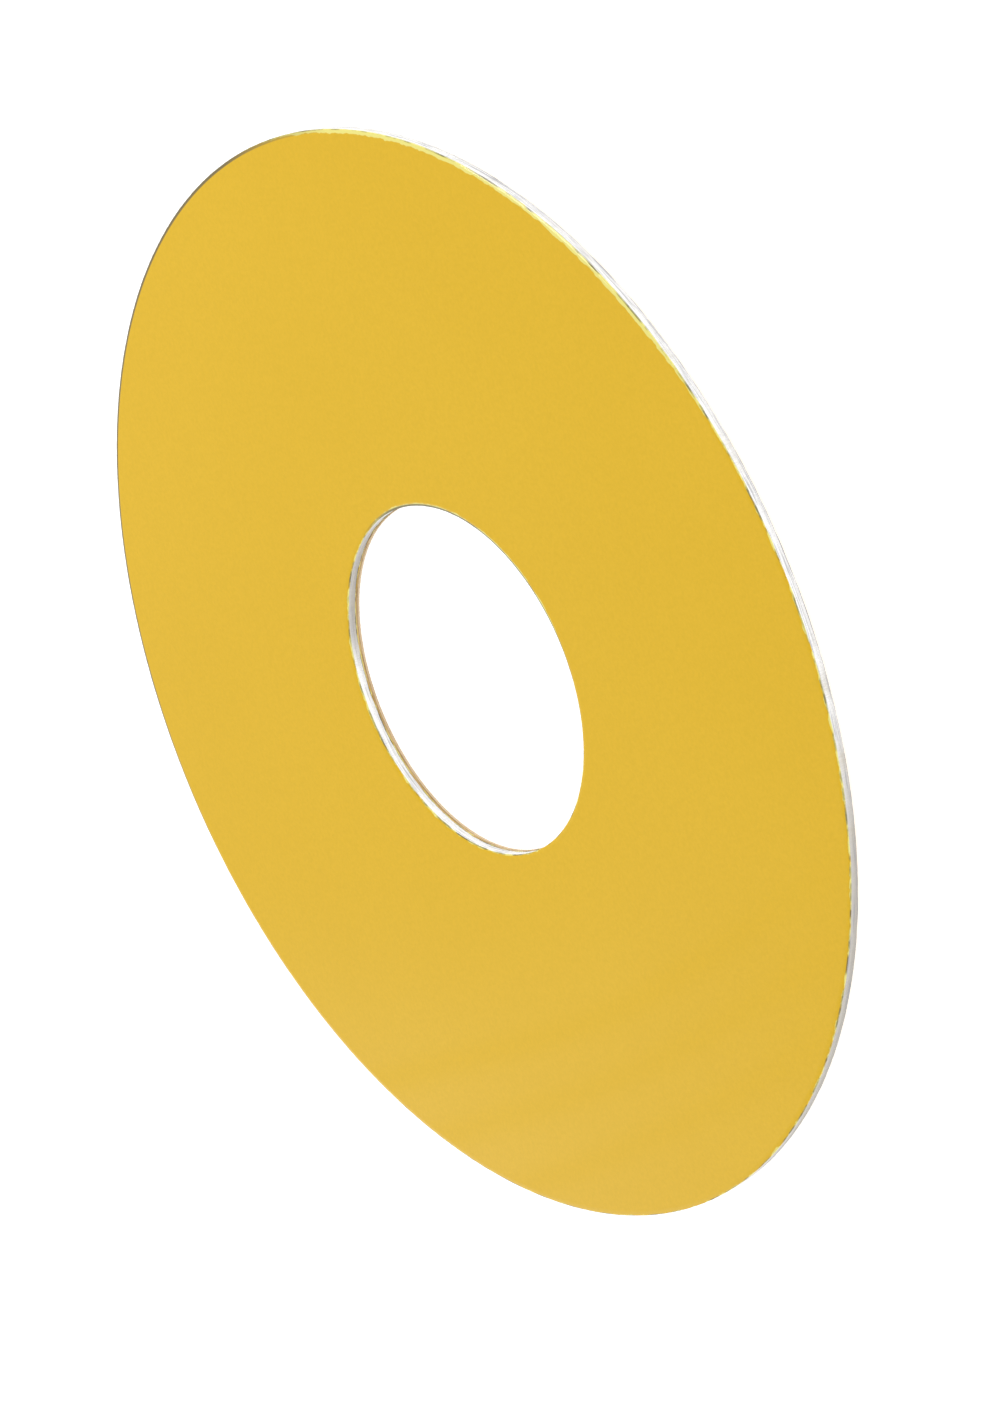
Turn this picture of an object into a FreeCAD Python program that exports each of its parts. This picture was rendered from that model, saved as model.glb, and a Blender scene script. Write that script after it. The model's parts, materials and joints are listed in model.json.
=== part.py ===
import FreeCAD, Part
import math
import os

# Self-adhesive yellow ring plate that goes under a push button's collar on a control panel.
# It lies on its liner, as it is supplied: the origin is on the hole's axis at the liner's
# underside, and +Z leaves the yellow face. All sizes are in millimetres.

# Driving dimensions.
rim_diameter = 70.0
hole_diameter = 22.5
sheet_thickness = 0.60      # bare aluminium
lacquer_thickness = 0.04    # each side of the pre-coated sheet
adhesive_thickness = 0.13
liner_thickness = 0.15
backing_inset = 0.70        # adhesive and liner stop this far inside the rim
roll_width = 0.35           # the punched edge rolls over the face by this much...
roll_depth = 0.05           # ...and sinks by this much at the cut wall

rim_radius = rim_diameter / 2
hole_radius = hole_diameter / 2
backing_radius = rim_radius - backing_inset

# Heights of the layers' lower faces, from the liner upwards.
adhesive_bottom = liner_thickness
back_lacquer_bottom = adhesive_bottom + adhesive_thickness
sheet_bottom = back_lacquer_bottom + lacquer_thickness
sheet_top = sheet_bottom + sheet_thickness
face_top = sheet_top + lacquer_thickness

# The rolled edge is one arc, level where it leaves the face.
roll_radius = (roll_width ** 2 + roll_depth ** 2) / (2 * roll_depth)
roll_angle = math.asin(roll_width / roll_radius)


def at(radius, height):
    """A point of the half section, in the XZ plane."""
    return FreeCAD.Vector(radius, 0, height)


def flat_outline(outer_radius, height):
    """A level line from the hole's wall out to outer_radius."""
    return Part.Wire([Part.makeLine(at(hole_radius, height), at(outer_radius, height))])


def rolled_arc(radius, height, outward):
    """The arc of a rolled edge whose wall is at radius; outward is 1 at the rim, -1 at the hole."""
    centre = at(radius - outward * roll_width, height - roll_radius)
    points = [
        centre + at(outward * roll_radius * math.sin(turn), roll_radius * math.cos(turn))
        for turn in (0, roll_angle / 2, roll_angle)
    ]
    return Part.Arc(*points).toShape()


def rolled_outline(height):
    """The face's section at height: rolled edge at the hole, level face, rolled edge at the rim."""
    face_line = Part.makeLine(at(hole_radius + roll_width, height), at(rim_radius - roll_width, height))
    arcs = [rolled_arc(hole_radius, height, -1), rolled_arc(rim_radius, height, 1)]
    return Part.Wire(Part.__sortEdges__([arcs[0], face_line, arcs[1]]))


def ring(lower, upper):
    """The solid of revolution between two section outlines, closed by the cut walls."""
    corners = sorted(lower.Vertexes + upper.Vertexes, key=lambda vertex: vertex.Point.x)
    hole_wall = Part.makeLine(corners[0].Point, corners[1].Point)
    rim_wall = Part.makeLine(corners[-2].Point, corners[-1].Point)
    section = Part.Wire(Part.__sortEdges__(lower.Edges + upper.Edges + [hole_wall, rim_wall]))
    return Part.Face(section).revolve(FreeCAD.Vector(), FreeCAD.Vector(0, 0, 1), 360)


nodes = {
    # Kraft paper that the plate is lifted off before it is stuck down.
    "release_liner": ring(flat_outline(backing_radius, 0), flat_outline(backing_radius, adhesive_bottom)),
    # Pressure-sensitive film that holds the plate to the panel.
    "adhesive_layer": ring(
        flat_outline(backing_radius, adhesive_bottom), flat_outline(backing_radius, back_lacquer_bottom)
    ),
    # The coated sheet is punched in one stroke, so its three layers share both cut walls.
    "back_lacquer": ring(flat_outline(rim_radius, back_lacquer_bottom), flat_outline(rim_radius, sheet_bottom)),
    "aluminium_plate": ring(flat_outline(rim_radius, sheet_bottom), rolled_outline(sheet_top)),
    "front_lacquer": ring(rolled_outline(sheet_top), rolled_outline(face_top)),
}

os.makedirs("parts", exist_ok=True)
for name, shape in nodes.items():
    shape.exportStep("parts/" + name + ".step")
    print(name, "valid" if shape.isValid() else "INVALID", round(shape.Volume, 2), "mm3")
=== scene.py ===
import json
import math

import bpy
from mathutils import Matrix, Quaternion, Vector


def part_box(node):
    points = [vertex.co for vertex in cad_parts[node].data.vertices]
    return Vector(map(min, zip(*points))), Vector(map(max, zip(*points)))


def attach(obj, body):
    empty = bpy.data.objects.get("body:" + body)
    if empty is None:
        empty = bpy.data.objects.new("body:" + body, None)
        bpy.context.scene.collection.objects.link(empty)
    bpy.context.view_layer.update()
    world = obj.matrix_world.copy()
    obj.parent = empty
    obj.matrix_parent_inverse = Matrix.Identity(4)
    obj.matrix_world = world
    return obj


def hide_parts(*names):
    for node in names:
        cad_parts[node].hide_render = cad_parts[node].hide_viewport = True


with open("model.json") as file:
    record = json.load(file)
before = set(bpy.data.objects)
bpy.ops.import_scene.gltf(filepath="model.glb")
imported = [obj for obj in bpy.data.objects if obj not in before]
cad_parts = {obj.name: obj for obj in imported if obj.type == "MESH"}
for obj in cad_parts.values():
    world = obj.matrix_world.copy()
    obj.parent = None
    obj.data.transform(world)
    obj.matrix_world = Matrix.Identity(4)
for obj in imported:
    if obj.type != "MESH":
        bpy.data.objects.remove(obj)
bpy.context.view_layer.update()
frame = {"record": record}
MM = 0.001

# ---- Aluminium sheet ---------------------------------------------------------------------------
# The ring's core: half-hard sheet aluminium, coated on both sides in the coil and then punched out.
# The punch rolls the upper edges over, burnishes the upper part of each cut wall bright and breaks the
# rest away, which leaves the wall's lower part torn, duller and a little set back.


def add_node(tree, kind, inputs=(), **settings):
    """Adds a node with its settings; each input, by name or number, takes a value or a link."""
    made = tree.nodes.new(kind)
    for setting, value in settings.items():
        setattr(made, setting, value)
    for socket, value in dict(inputs).items():
        if isinstance(value, bpy.types.NodeSocket):
            tree.links.new(value, made.inputs[socket])
        else:
            made.inputs[socket].default_value = value
    return made


def math_node(tree, operation, *terms):
    """The result of one Math node."""
    return add_node(tree, "ShaderNodeMath", enumerate(terms), operation=operation).outputs[0]


def vector_node(tree, operation, *terms):
    """The vector that one Vector Math node gives."""
    return add_node(tree, "ShaderNodeVectorMath", enumerate(terms), operation=operation).outputs[0]


def from_axis(tree, place):
    """The level vector from the hole's axis to a place."""
    return vector_node(tree, "MULTIPLY", place, (1, 1, 0))


def radius_at(tree, place):
    """Distance from the hole's axis."""
    level = from_axis(tree, place)
    return add_node(tree, "ShaderNodeVectorMath", {0: level}, operation="LENGTH").outputs["Value"]


def outwards_at(tree, place):
    """The unit vector away from the hole's axis."""
    return vector_node(tree, "NORMALIZE", from_axis(tree, place))


def height_at(tree, place):
    """Height above the liner's underside."""
    return add_node(tree, "ShaderNodeSeparateXYZ", {0: place}).outputs["Z"]


def ramp(tree, value, start, end, low=0.0, high=1.0, smooth=False):
    """value remapped from start..end to low..high, and held at the ends."""
    return add_node(
        tree, "ShaderNodeMapRange",
        {"Value": value, "From Min": start, "From Max": end, "To Min": low, "To Max": high},
        interpolation_type="SMOOTHSTEP" if smooth else "LINEAR",
    ).outputs["Result"]


def noise(tree, place, grain_size, detail=2.0, seed=0.0):
    """Noise whose lumps are about grain_size across."""
    return add_node(
        tree, "ShaderNodeTexNoise",
        {"Vector": place, "W": seed, "Scale": 1 / grain_size, "Detail": detail},
        noise_dimensions="4D",
    ).outputs[0]


def spread(tree, grain, low=0.0, high=1.0):
    """Noise mostly lies between 0.3 and 0.7; this remaps that range to low..high."""
    return ramp(tree, grain, 0.3, 0.7, low, high)


def ring_tree():
    """Sweeps a section round the hole's axis and roughens both of its walls."""
    tree = bpy.data.node_groups.new("ring_from_section", "GeometryNodeTree")
    sockets = {
        "Section": "Geometry", "Hole Radius": "Float", "Rim Radius": "Float", "Segments": "Int",
        "Wear": "Float", "Wear Size": "Float", "Torn From": "Float", "Torn To": "Float",
        "Torn Depth": "Float", "Smear": "Float", "Seed": "Float", "Material": "Material",
    }
    for name, kind in sockets.items():
        tree.interface.new_socket(name, in_out="INPUT", socket_type="NodeSocket" + kind)
    tree.interface.new_socket("Ring", in_out="OUTPUT", socket_type="NodeSocketGeometry")
    given = add_node(tree, "NodeGroupInput").outputs
    circle = add_node(
        tree, "GeometryNodeCurvePrimitiveCircle",
        {"Resolution": given["Segments"], "Radius": given["Hole Radius"]},
    )
    swept = add_node(
        tree, "GeometryNodeCurveToMesh", {"Curve": circle.outputs[0], "Profile Curve": given["Section"]}
    )
    place = add_node(tree, "GeometryNodeInputPosition").outputs[0]
    radius = radius_at(tree, place)
    height = height_at(tree, place)
    from_hole = math_node(tree, "SUBTRACT", radius, given["Hole Radius"])
    from_rim = math_node(tree, "SUBTRACT", given["Rim Radius"], radius)
    wall_depth = 0.05 * MM          # what lies this near to a wall counts as on it
    on_wall = math_node(tree, "LESS_THAN", math_node(tree, "MINIMUM", from_hole, from_rim), wall_depth)
    # 1 where the wall faces the hole, -1 where it faces out: the way into the material.
    into = math_node(tree, "SIGN", math_node(tree, "SUBTRACT", from_rim, from_hole))
    grain = add_node(
        tree, "ShaderNodeTexNoise",
        {"Vector": place, "W": given["Seed"], "Scale": math_node(tree, "DIVIDE", 1.0, given["Wear Size"]),
         "Detail": 3.0},
        noise_dimensions="4D",
    ).outputs[0]
    worn = math_node(tree, "MULTIPLY", ramp(tree, grain, 0.35, 0.75), given["Wear"])
    torn = math_node(
        tree, "MULTIPLY",
        ramp(tree, height, given["Torn From"], given["Torn To"]),
        math_node(tree, "MULTIPLY", given["Torn Depth"], spread(tree, grain, 0.3, 1.0)),
    )
    inset = math_node(
        tree, "MULTIPLY", math_node(tree, "MULTIPLY", math_node(tree, "ADD", worn, torn), into), on_wall
    )
    outwards = outwards_at(tree, place)
    moved = add_node(
        tree, "ShaderNodeVectorMath", {0: outwards, "Scale": inset}, operation="SCALE"
    ).outputs[0]
    # The smear drags the wall's lower edge down by an uneven amount.
    streak = ramp(tree, noise(tree, place, 0.9 * MM, 4.0, 7.3), 0.42, 0.72)
    lowest = ramp(tree, height, given["Torn From"], given["Torn To"])
    drag = math_node(
        tree, "MULTIPLY", math_node(tree, "MULTIPLY", given["Smear"], streak),
        math_node(tree, "MULTIPLY", lowest, on_wall),
    )
    downwards = math_node(tree, "MULTIPLY", drag, -1.0)
    dragged = add_node(tree, "ShaderNodeCombineXYZ", {"Z": downwards}).outputs[0]
    shaped = add_node(
        tree, "GeometryNodeSetPosition",
        {"Geometry": swept.outputs[0], "Offset": vector_node(tree, "ADD", moved, dragged)},
    )
    real = add_node(tree, "GeometryNodeRealizeInstances", {"Geometry": shaped.outputs[0]})
    finished = add_node(
        tree, "GeometryNodeSetMaterial", {"Geometry": real.outputs[0], "Material": given["Material"]}
    )
    add_node(tree, "NodeGroupOutput", {0: finished.outputs[0]})
    return tree


ring_from_section = ring_tree()


def make_ring(name, section, finish, slot, body, **sizes):
    """Makes one layer from its section, (radius, height) round the outline, and hides its CAD node."""
    outline = bpy.data.curves.new(name + "_section", "CURVE")
    outline.dimensions = "3D"
    line = outline.splines.new("POLY")
    line.points.add(len(section) - 1)
    line.use_cyclic_u = True
    for point, (radius, height) in zip(line.points, section):
        point.co = (radius - hole_radius, -height, 0, 1)
    drawn = bpy.data.objects.new(name + "_section", outline)
    bpy.context.collection.objects.link(drawn)
    sweep = drawn.modifiers.new("sweep", "NODES")
    sweep.node_group = ring_from_section
    given = {
        "Hole Radius": hole_radius, "Rim Radius": max(radius for radius, _ in section), "Segments": 1440,
        "Wear": 0.0, "Wear Size": 1.0 * MM, "Torn From": 0.0, "Torn To": 1.0, "Torn Depth": 0.0,
        "Smear": 0.0, "Seed": 0.0, "Material": finish,
    }
    given.update(sizes)
    for item in ring_from_section.interface.items_tree:
        if item.in_out == "INPUT" and item.name in given:
            sweep[item.identifier] = given[item.name]
    seen = drawn.evaluated_get(bpy.context.evaluated_depsgraph_get())
    mesh = bpy.data.meshes.new_from_object(seen)
    mesh.name = name + "_piece"
    bpy.data.objects.remove(drawn)
    mesh.shade_smooth()
    mesh.set_sharp_from_angle(angle=math.radians(35))
    ring = bpy.data.objects.new(name + "_piece", mesh)
    bpy.context.collection.objects.link(ring)
    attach(ring, body)
    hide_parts(name)


def new_finish(name):
    """An empty material and its shader, with the piece's own coordinates."""
    finish = bpy.data.materials.new(name)
    finish.use_nodes = True
    shader = finish.node_tree.nodes["Principled BSDF"]
    place = add_node(finish.node_tree, "ShaderNodeTexCoord").outputs["Object"]
    return finish, finish.node_tree, shader, place


def blend_colours(tree, share, first, second):
    """first where share is 0, second where it is 1; a Mix node's colours are its inputs 6 and 7."""
    return add_node(
        tree, "ShaderNodeMix", {"Factor": share, 6: first, 7: second}, data_type="RGBA"
    ).outputs[2]


def bumped(tree, shader, height, distance, strength=1.0):
    """Joins a height to the shader's normal."""
    bump = add_node(tree, "ShaderNodeBump", {"Height": height, "Distance": distance, "Strength": strength})
    tree.links.new(bump.outputs[0], shader.inputs["Normal"])


def rolled_arc(wall_radius, outward, top, turns):
    """Points of a rolled edge: one arc, level at the face and roll_depth lower at the wall."""
    roll_radius = (roll_width ** 2 + roll_depth ** 2) / (2 * roll_depth)
    centre = wall_radius - outward * roll_width
    return [
        (centre + outward * roll_radius * math.sin(turn), top - roll_radius * (1 - math.cos(turn)))
        for turn in (math.asin(roll_width / roll_radius) * share for share in turns)
    ]


plate_low, plate_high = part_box("aluminium_plate")
rim_radius = plate_high.y
sheet_bottom, sheet_top = plate_low.z, plate_high.z
bore = next(mount for mount in frame["record"]["mounts"] if mount["name"] == "button_hole")["dims"]
hole_radius = bore["r_mm"] * MM
face_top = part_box("front_lacquer")[1].z
roll_width, roll_depth = 0.35 * MM, face_top - bore["length_mm"] * MM
lip = 0.020 * MM                    # the lacquer drawn down over the top of the wall
wall_top = sheet_top - roll_depth
burnish_depth = 0.35 * (wall_top - sheet_bottom)
to_wall = [step / 10 for step in range(11)]
to_face = to_wall[::-1]
wall_steps = [step / 8 for step in range(9)]
# Painted shade lies on the cut walls that face this way or the opposite way, and on the rolled rim edge
# that faces this way.
shaded_side_direction = math.radians(40)


def facing(tree, outwards, direction):
    """How squarely a place lies in the given direction from the hole's axis, from -1 to 1."""
    pointer = (math.cos(direction), math.sin(direction), 0)
    dotted = add_node(tree, "ShaderNodeVectorMath", {0: outwards, 1: pointer}, operation="DOT_PRODUCT")
    return dotted.outputs["Value"]


def aluminium_finish():
    burnished, scored = (0.90, 0.90, 0.89, 1), (0.70, 0.70, 0.71, 1)
    torn_pale, torn_grey = (0.93, 0.92, 0.90, 1), (0.66, 0.66, 0.67, 1)
    # The first colour on the next line is painted shade and dark reflection, not the metal's own tone.
    painted_shade_grey, oil_stain, drag_mark = (0.42, 0.39, 0.34, 1), (0.50, 0.44, 0.31, 1), (0.36, 0.36, 0.38, 1)
    roll_shadow, burr_shadow = (0.34, 0.35, 0.40, 1), (0.20, 0.20, 0.23, 1)
    finish, tree, shader, place = new_finish("bare_aluminium")
    outwards = outwards_at(tree, place)
    height = height_at(tree, place)
    # Scores run straight down the wall, so they are long in height and fine round the edge.
    scores = noise(tree, vector_node(tree, "MULTIPLY", place, (1, 1, 0.06)), 0.05 * MM, 3.0, 1.0)
    patches = noise(tree, place, 4.0 * MM, 3.0, 2.0)
    crumbs = noise(tree, place, 0.06 * MM, 3.0, 3.0)
    # Each zone's edge wanders up and down round the wall.
    wander = spread(tree, noise(tree, place, 1.5 * MM, 3.0, 13.0), -0.06 * MM, 0.06 * MM)
    level = math_node(tree, "ADD", height, wander)
    torn = ramp(tree, level, wall_top - burnish_depth, wall_top - 1.6 * burnish_depth, smooth=True)
    bright = blend_colours(tree, spread(tree, scores), burnished, scored)
    broken = blend_colours(tree, spread(tree, crumbs), torn_pale, torn_grey)
    metal = blend_colours(tree, torn, bright, broken)
    # Two opposite stretches of each wall are painted a darker grey: painted shade and a painted dark
    # reflection. Oil stains the wall in patches.
    facing_shaded_side = math_node(tree, "ABSOLUTE", facing(tree, outwards, shaded_side_direction))
    painted_shade_share = ramp(tree, facing_shaded_side, 0.80, 0.97, 0.0, 0.80, smooth=True)
    metal = blend_colours(tree, painted_shade_share, metal, painted_shade_grey)
    stained = math_node(
        tree, "MULTIPLY", ramp(tree, patches, 0.55, 0.70), ramp(tree, scores, 0.25, 0.7, 0.1, 0.6)
    )
    metal = blend_colours(tree, stained, metal, oil_stain)
    # The punch also drags long thin lines round the wall.
    dragged = noise(tree, vector_node(tree, "MULTIPLY", place, (0.03, 0.03, 1)), 0.07 * MM, 2.0, 16.0)
    metal = blend_colours(tree, ramp(tree, dragged, 0.53, 0.60, 0.0, 0.65), metal, drag_mark)
    # A thin dark line lies where the roll meets the wall, and another along the burr at the back.
    breaks = ramp(tree, noise(tree, place, 0.8 * MM, 3.0, 14.0), 0.40, 0.60, 0.15, 1.0)
    under_roll = ramp(tree, level, wall_top - 0.07 * MM, wall_top, 0.0, 0.6)
    metal = blend_colours(tree, math_node(tree, "MULTIPLY", breaks, under_roll), metal, roll_shadow)
    over_burr = ramp(tree, height, sheet_bottom + 0.06 * MM, sheet_bottom + 0.01 * MM, 0.0, 0.75)
    metal = blend_colours(tree, math_node(tree, "MULTIPLY", breaks, over_burr), metal, burr_shadow)
    tree.links.new(metal, shader.inputs["Base Color"])
    shader.inputs["Metallic"].default_value = 1.0
    roughness = math_node(
        tree, "ADD", ramp(tree, torn, 0.0, 1.0, 0.26, 0.5), spread(tree, scores, 0.0, 0.1)
    )
    tree.links.new(roughness, shader.inputs["Roughness"])
    relief = math_node(tree, "ADD", scores, math_node(tree, "MULTIPLY", crumbs, torn))
    bumped(tree, shader, relief, 0.004 * MM)
    return finish


make_ring(
    "aluminium_plate",
    rolled_arc(hole_radius, -1, sheet_top, to_face) + rolled_arc(rim_radius, 1, sheet_top, to_wall[:-1])
    + [(rim_radius - lip, wall_top - share * (wall_top - sheet_bottom)) for share in wall_steps]
    + [(hole_radius + lip, sheet_bottom + share * (wall_top - sheet_bottom)) for share in wall_steps],
    aluminium_finish(), "bare_aluminium", "plate",
    **{"Wear": 0.006 * MM, "Wear Size": 0.5 * MM, "Torn From": wall_top - burnish_depth,
       "Torn To": sheet_bottom, "Torn Depth": 0.03 * MM, "Seed": 1.0},
)

# ---- Front lacquer -----------------------------------------------------------------------------
# The yellow face: stoved polyester lacquer, roller-coated on the sheet before it was punched, so it is
# dead flat with a faint grain. At both edges it bends down with the metal, where it is stretched paler and,
# towards one side, carries a painted highlight; its lip is dragged and chipped along the cut, with painted
# shade along two stretches.

# The side where the rim's rolled edge carries the painted highlight, and where the hole's edge carries a
# pale line and painted shade.
highlight_direction = math.radians(-42)


def yellow_finish():
    deep_yellow, warm_yellow = (0.792, 0.488, 0.009, 1), (0.808, 0.502, 0.012, 1)
    # The pale colour is stretched lacquer with a painted highlight; the dark one is bruising in spots and
    # painted shade along two stretches.
    grain_yellow, stretched_and_highlight, bruise_and_shade = (0.66, 0.41, 0.000, 1), (0.90, 0.84, 0.25, 1), (0.13, 0.11, 0.06, 1)
    narrow_band, wide_band, hole_band = 0.02 * MM, 0.30 * MM, 0.22 * MM
    finish, tree, shader, place = new_finish("yellow_lacquer")
    radius = radius_at(tree, place)
    outwards = outwards_at(tree, place)
    cloud = noise(tree, place, 18 * MM, 2.0, 4.0)
    grain = noise(tree, place, 0.22 * MM, 2.0, 5.0)
    yellow = blend_colours(tree, spread(tree, cloud), deep_yellow, warm_yellow)
    yellow = blend_colours(tree, spread(tree, grain, 0.0, 0.34), yellow, grain_yellow)
    from_hole = math_node(tree, "SUBTRACT", radius, hole_radius)
    from_rim = math_node(tree, "SUBTRACT", rim_radius, radius)
    from_wall = math_node(tree, "MINIMUM", from_hole, from_rim)
    # Towards one side the pale band at the rim is wider and paler: a painted highlight on the rolled edge,
    # on top of the stretched lacquer.
    at_rim = math_node(tree, "LESS_THAN", from_rim, from_hole)
    toward_highlight_side = facing(tree, outwards, highlight_direction)
    wide = ramp(tree, toward_highlight_side, 0.74, 0.95, narrow_band, wide_band, smooth=True)
    # On the highlight side of the hole, and more widely on one side of the rim, the lip is painted dark all
    # along:
    # painted shade where the rolled edge turns away from the light. Elsewhere it is bruised in spots.
    highlight_and_shade_at_hole = math_node(
        tree, "MULTIPLY", ramp(tree, toward_highlight_side, 0.45, 0.75), math_node(tree, "SUBTRACT", 1.0, at_rim)
    )
    toward_shaded_side = facing(tree, outwards, shaded_side_direction)
    shade_at_rim = math_node(tree, "MULTIPLY", ramp(tree, toward_shaded_side, 0.55, 0.80), at_rim)
    reach_at_rim = math_node(tree, "MULTIPLY", wide, at_rim)
    reach_at_hole = math_node(tree, "MULTIPLY", highlight_and_shade_at_hole, hole_band)
    reach = math_node(tree, "MAXIMUM", math_node(tree, "ADD", reach_at_rim, reach_at_hole), 0.07 * MM)
    ragged = spread(tree, noise(tree, place, 0.7 * MM, 4.0, 6.0), -0.09 * MM, 0.09 * MM)
    depth_in = math_node(tree, "SUBTRACT", math_node(tree, "ADD", reach, ragged), from_wall)
    stretch_and_highlight = ramp(tree, depth_in, 0.0, 0.07 * MM, 0.0, 0.92, smooth=True)
    yellow = blend_colours(tree, stretch_and_highlight, yellow, stretched_and_highlight)
    spots = math_node(
        tree, "MULTIPLY", ramp(tree, noise(tree, place, 1.1 * MM, 3.0, 15.0), 0.44, 0.62),
        ramp(tree, from_wall, 0.08 * MM, 0.04 * MM, 0.0, 0.85),
    )
    # The painted shade along the lip: the dark band on one side of the hole and on one side of the rim.
    painted_shade_band = math_node(
        tree, "MAXIMUM",
        math_node(tree, "MULTIPLY", highlight_and_shade_at_hole, ramp(tree, from_wall, 0.17 * MM, 0.10 * MM, 0.0, 0.9)),
        math_node(tree, "MULTIPLY", shade_at_rim, ramp(tree, from_wall, 0.24 * MM, 0.17 * MM, 0.0, 0.9)),
    )
    yellow = blend_colours(tree, math_node(tree, "MAXIMUM", spots, painted_shade_band), yellow, bruise_and_shade)
    tree.links.new(yellow, shader.inputs["Base Color"])
    tree.links.new(spread(tree, grain, 0.02, 0.045), shader.inputs["Roughness"])
    shader.inputs["IOR"].default_value = 1.40
    bumped(tree, shader, noise(tree, place, 1.6 * MM, 2.0, 8.0), 0.0004 * MM)
    return finish


yellow_lacquer = yellow_finish()
lip_top, lip_bottom = wall_top + 0.02 * MM, wall_top - 0.01 * MM
make_ring(
    "front_lacquer",
    rolled_arc(hole_radius, -1, face_top, to_face) + rolled_arc(rim_radius, 1, face_top, to_wall)
    + [(rim_radius, lip_top), (rim_radius, lip_bottom), (rim_radius - lip, lip_bottom)]
    + rolled_arc(rim_radius, 1, sheet_top, to_face[1:])
    + rolled_arc(hole_radius, -1, sheet_top, to_wall[:-1])
    + [(hole_radius + lip, lip_bottom), (hole_radius, lip_bottom), (hole_radius, lip_top)],
    yellow_lacquer, "yellow_lacquer", "plate",
    **{"Wear": 0.020 * MM, "Wear Size": 0.35 * MM, "Torn From": lip_top, "Torn To": lip_bottom,
       "Smear": 0.04 * MM, "Seed": 2.0},
)

# ---- Back lacquer ------------------------------------------------------------------------------
# The same yellow lacquer on the sheet's back, which keeps the coil flat in the oven and gives the
# adhesive something to grip. The punch leaves through this side, so it is flaked back at the rim.

flaked_width = 0.25 * MM


def flat_section(low, high, set_back=0.0):
    """The section of a layer with square edges, from its box; set_back takes it in from the rim."""
    edge = high.y - set_back
    return [(hole_radius, high.z), (edge, high.z), (edge, low.z), (hole_radius, low.z)]


make_ring(
    "back_lacquer", flat_section(*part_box("back_lacquer"), flaked_width), yellow_lacquer, "yellow_lacquer",
    "plate", **{"Wear": 0.09 * MM, "Wear Size": 0.6 * MM, "Seed": 3.0},
)

# ---- Adhesive film -----------------------------------------------------------------------------
# Clear acrylic transfer adhesive, aged amber. It is laid on with its liner and die-cut a little inside
# the rim; its cut edge creeps and shines, and fine air bubbles are trapped against the lacquer.


def amber_finish():
    clear_amber, dark_amber = (0.72, 0.50, 0.20, 1), (0.36, 0.21, 0.07, 1)
    bubble_amber = (0.70, 0.48, 0.20, 1)
    finish, tree, shader, place = new_finish("amber_adhesive")
    radius = radius_at(tree, place)
    cloud = noise(tree, place, 1.8 * MM, 4.0, 9.0)
    # The film is even across its face and darkens in patches along the hole's cut edge.
    cut_edge = ramp(tree, radius, hole_radius + 0.30 * MM, hole_radius + 0.12 * MM, 0.15, 1.0)
    darkened = math_node(tree, "MULTIPLY", spread(tree, cloud), cut_edge)
    bubbles = add_node(
        tree, "ShaderNodeTexVoronoi", {"Vector": place, "Scale": 1 / (1.4 * MM), "Randomness": 1.0}
    ).outputs["Distance"]
    amber = blend_colours(tree, darkened, clear_amber, dark_amber)
    amber = blend_colours(tree, ramp(tree, bubbles, 0.16, 0.10, 0.0, 0.6), amber, bubble_amber)
    tree.links.new(amber, shader.inputs["Base Color"])
    tree.links.new(spread(tree, cloud, 0.16, 0.30), shader.inputs["Roughness"])
    shader.inputs["IOR"].default_value = 1.47
    bumped(tree, shader, ramp(tree, bubbles, 0.18, 0.06), 0.01 * MM)
    return finish


make_ring(
    "adhesive_layer", flat_section(*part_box("adhesive_layer")), amber_finish(), "amber_adhesive", "plate",
    **{"Wear": 0.10 * MM, "Wear Size": 1.8 * MM, "Seed": 4.0},
)

# ---- Release liner -----------------------------------------------------------------------------
# Brown kraft paper with a thin silicone release coating on the side that meets the adhesive. It is cut
# by the same die, so its edges show torn fibres, and it peels off when the plate is mounted.

liner_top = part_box("release_liner")[1].z


def kraft_finish():
    pale_pulp, dark_pulp = (0.76, 0.60, 0.40, 1), (0.66, 0.49, 0.30, 1)
    dark_fibre, silicone_tint = (0.46, 0.32, 0.17, 1), (0.70, 0.54, 0.34, 1)
    finish, tree, shader, place = new_finish("kraft_paper")
    height = height_at(tree, place)
    pulp = noise(tree, place, 2.5 * MM, 5.0, 10.0)
    fibres = noise(tree, vector_node(tree, "MULTIPLY", place, (1, 0.15, 1)), 0.10 * MM, 3.0, 11.0)
    brown = blend_colours(tree, ramp(tree, pulp, 0.35, 0.65), pale_pulp, dark_pulp)
    brown = blend_colours(tree, ramp(tree, fibres, 0.45, 0.75, 0.0, 0.5), brown, dark_fibre)
    coated = ramp(tree, height, liner_top - 0.02 * MM, liner_top)
    brown = blend_colours(tree, math_node(tree, "MULTIPLY", coated, 0.35), brown, silicone_tint)
    tree.links.new(brown, shader.inputs["Base Color"])
    tree.links.new(ramp(tree, coated, 0.0, 1.0, 0.85, 0.38), shader.inputs["Roughness"])
    bumped(tree, shader, math_node(tree, "ADD", pulp, fibres), 0.02 * MM)
    return finish


make_ring(
    "release_liner", flat_section(*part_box("release_liner")), kraft_finish(), "kraft_paper", "liner",
    **{"Wear": 0.03 * MM, "Wear Size": 0.12 * MM, "Seed": 5.0},
)

# ---- Studio ------------------------------------------------------------------------------------
# An opal light table that glows evenly under the plate, a pale surround that is dimmer overhead, a pale
# curtain in it that the yellow face mirrors, and two softboxes at the back right.

scene = bpy.context.scene
scene.view_settings.view_transform = "Standard"

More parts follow.
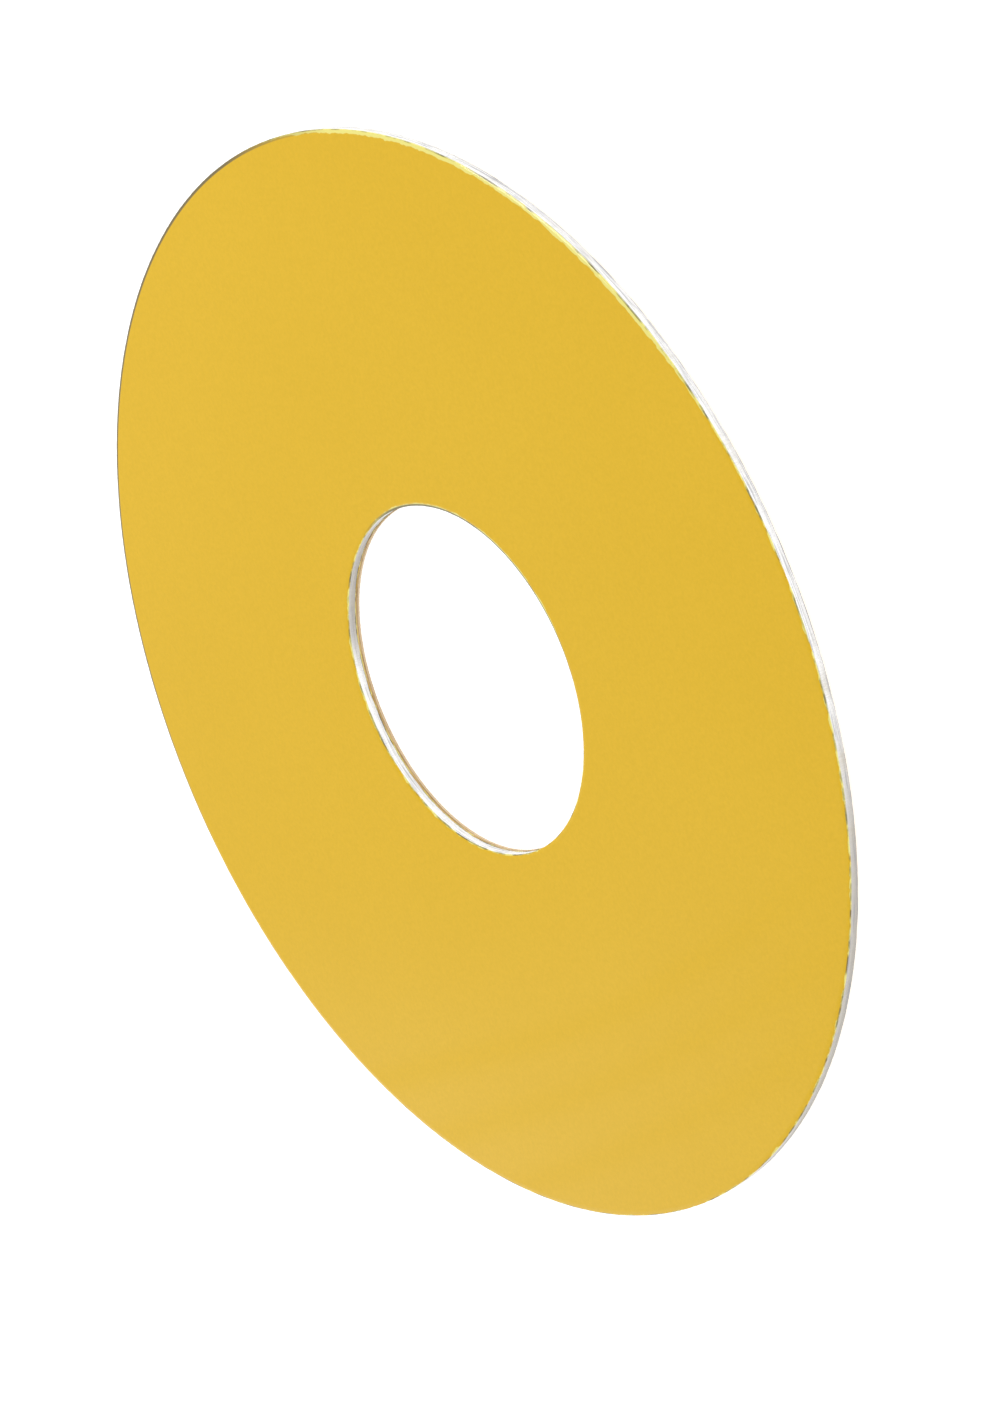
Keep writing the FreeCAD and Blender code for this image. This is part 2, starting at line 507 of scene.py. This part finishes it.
floor_height = -0.02 * MM
floor_reach = 4.0
floor_mesh = bpy.data.meshes.new("light_table")
floor_mesh.from_pydata(
    [(x * floor_reach, y * floor_reach, floor_height) for x, y in ((-1, -1), (1, -1), (1, 1), (-1, 1))],
    [], [(0, 1, 2, 3)],
)
floor = bpy.data.objects.new("light_table", floor_mesh)
bpy.context.collection.objects.link(floor)
opal, tree, shader, place = new_finish("opal_acrylic")
clouds = noise(tree, place, 300 * MM, 2.0, 12.0)
white = blend_colours(tree, spread(tree, clouds), (0.50, 0.50, 0.50, 1), (0.52, 0.52, 0.52, 1))
tree.links.new(white, shader.inputs["Base Color"])
shader.inputs["Roughness"].default_value = 0.9
shader.inputs["Emission Color"].default_value = (1, 1, 1, 1)
shader.inputs["Emission Strength"].default_value = 0.85
floor_mesh.materials.append(opal)

curtain_start, curtain_edge, curtain_glow = -0.004, -0.086, 0.50
curtain_folds, fold_width, fold_shade = (-0.055, -0.069, -0.084), 0.005, 0.19
surround = bpy.data.worlds.new("surround")
surround.use_nodes = True
scene.world = surround
tree = surround.node_tree
direction = add_node(tree, "ShaderNodeTexCoord").outputs["Generated"]
parted = add_node(tree, "ShaderNodeSeparateXYZ", {0: direction}).outputs
rise = parted["Z"]
overhead = ramp(tree, rise, 0.12, 0.35, 1.05, 0.70, smooth=True)
# The curtain hangs on the far side; across is the tangent of the turn away from straight ahead.
ahead = ramp(tree, parted["Y"], 0.5, 0.7)
across = math_node(tree, "DIVIDE", parted["X"], math_node(tree, "MAXIMUM", parted["Y"], 0.1))
glow = ramp(tree, across, curtain_start, curtain_edge, 0.0, curtain_glow, smooth=True)
for fold in curtain_folds:
    beside = math_node(tree, "ABSOLUTE", math_node(tree, "SUBTRACT", across, fold))
    shade = ramp(tree, beside, 0.0, fold_width, fold_shade, 0.0, smooth=True)
    glow = math_node(tree, "SUBTRACT", glow, shade)
lit = math_node(tree, "MULTIPLY", ahead, ramp(tree, rise, 0.59, 0.51, 0.12, 1.20))
brightness = math_node(tree, "ADD", overhead, math_node(tree, "MULTIPLY", glow, lit))
tree.links.new(brightness, tree.nodes["Background"].inputs["Strength"])
tree.nodes["Background"].inputs["Color"].default_value = (1, 1, 1, 1)


def soft_light(name, place, side, brightness):
    """A square softbox, aimed at the plate, whose surface has the given brightness."""
    lamp = bpy.data.lights.new(name, "AREA")
    lamp.shape = "SQUARE"
    lamp.size = side
    lamp.energy = brightness * side * side * math.pi
    box = bpy.data.objects.new(name, lamp)
    box.location = place
    box.rotation_euler = Vector(place).to_track_quat("Z", "Y").to_euler()
    bpy.context.collection.objects.link(box)


soft_light("high_softbox", place=(0.26, 0.36, 0.57), side=0.15, brightness=7.6)
soft_light("side_softbox", place=(0.26, 0.12, 0.28), side=0.134, brightness=7.2)

# ---- Camera ------------------------------------------------------------------------------------
# It looks from the front and 33 degrees up at a point just in front of the hole's middle and left of it,
# and it is rolled a little past a quarter turn.

camera_data = bpy.data.cameras.new("camera")
camera_data.sensor_width = 36.0
camera_data.lens = 174.73
camera_data.clip_start, camera_data.clip_end = 0.01, 20.0
camera = bpy.data.objects.new("camera", camera_data)
distance, elevation, roll = 419.2 * MM, math.radians(33.42), math.radians(-113.18)
back = Vector((0, -math.cos(elevation), math.sin(elevation)))
looked_at = Vector((-2.55 * MM, -2.41 * MM, face_top - 0.04 * MM))
camera.location = looked_at + back * distance
camera.rotation_mode = "QUATERNION"
camera.rotation_quaternion = back.to_track_quat("Z", "Y") @ Quaternion((0, 0, 1), roll)
bpy.context.collection.objects.link(camera)
scene.camera = camera
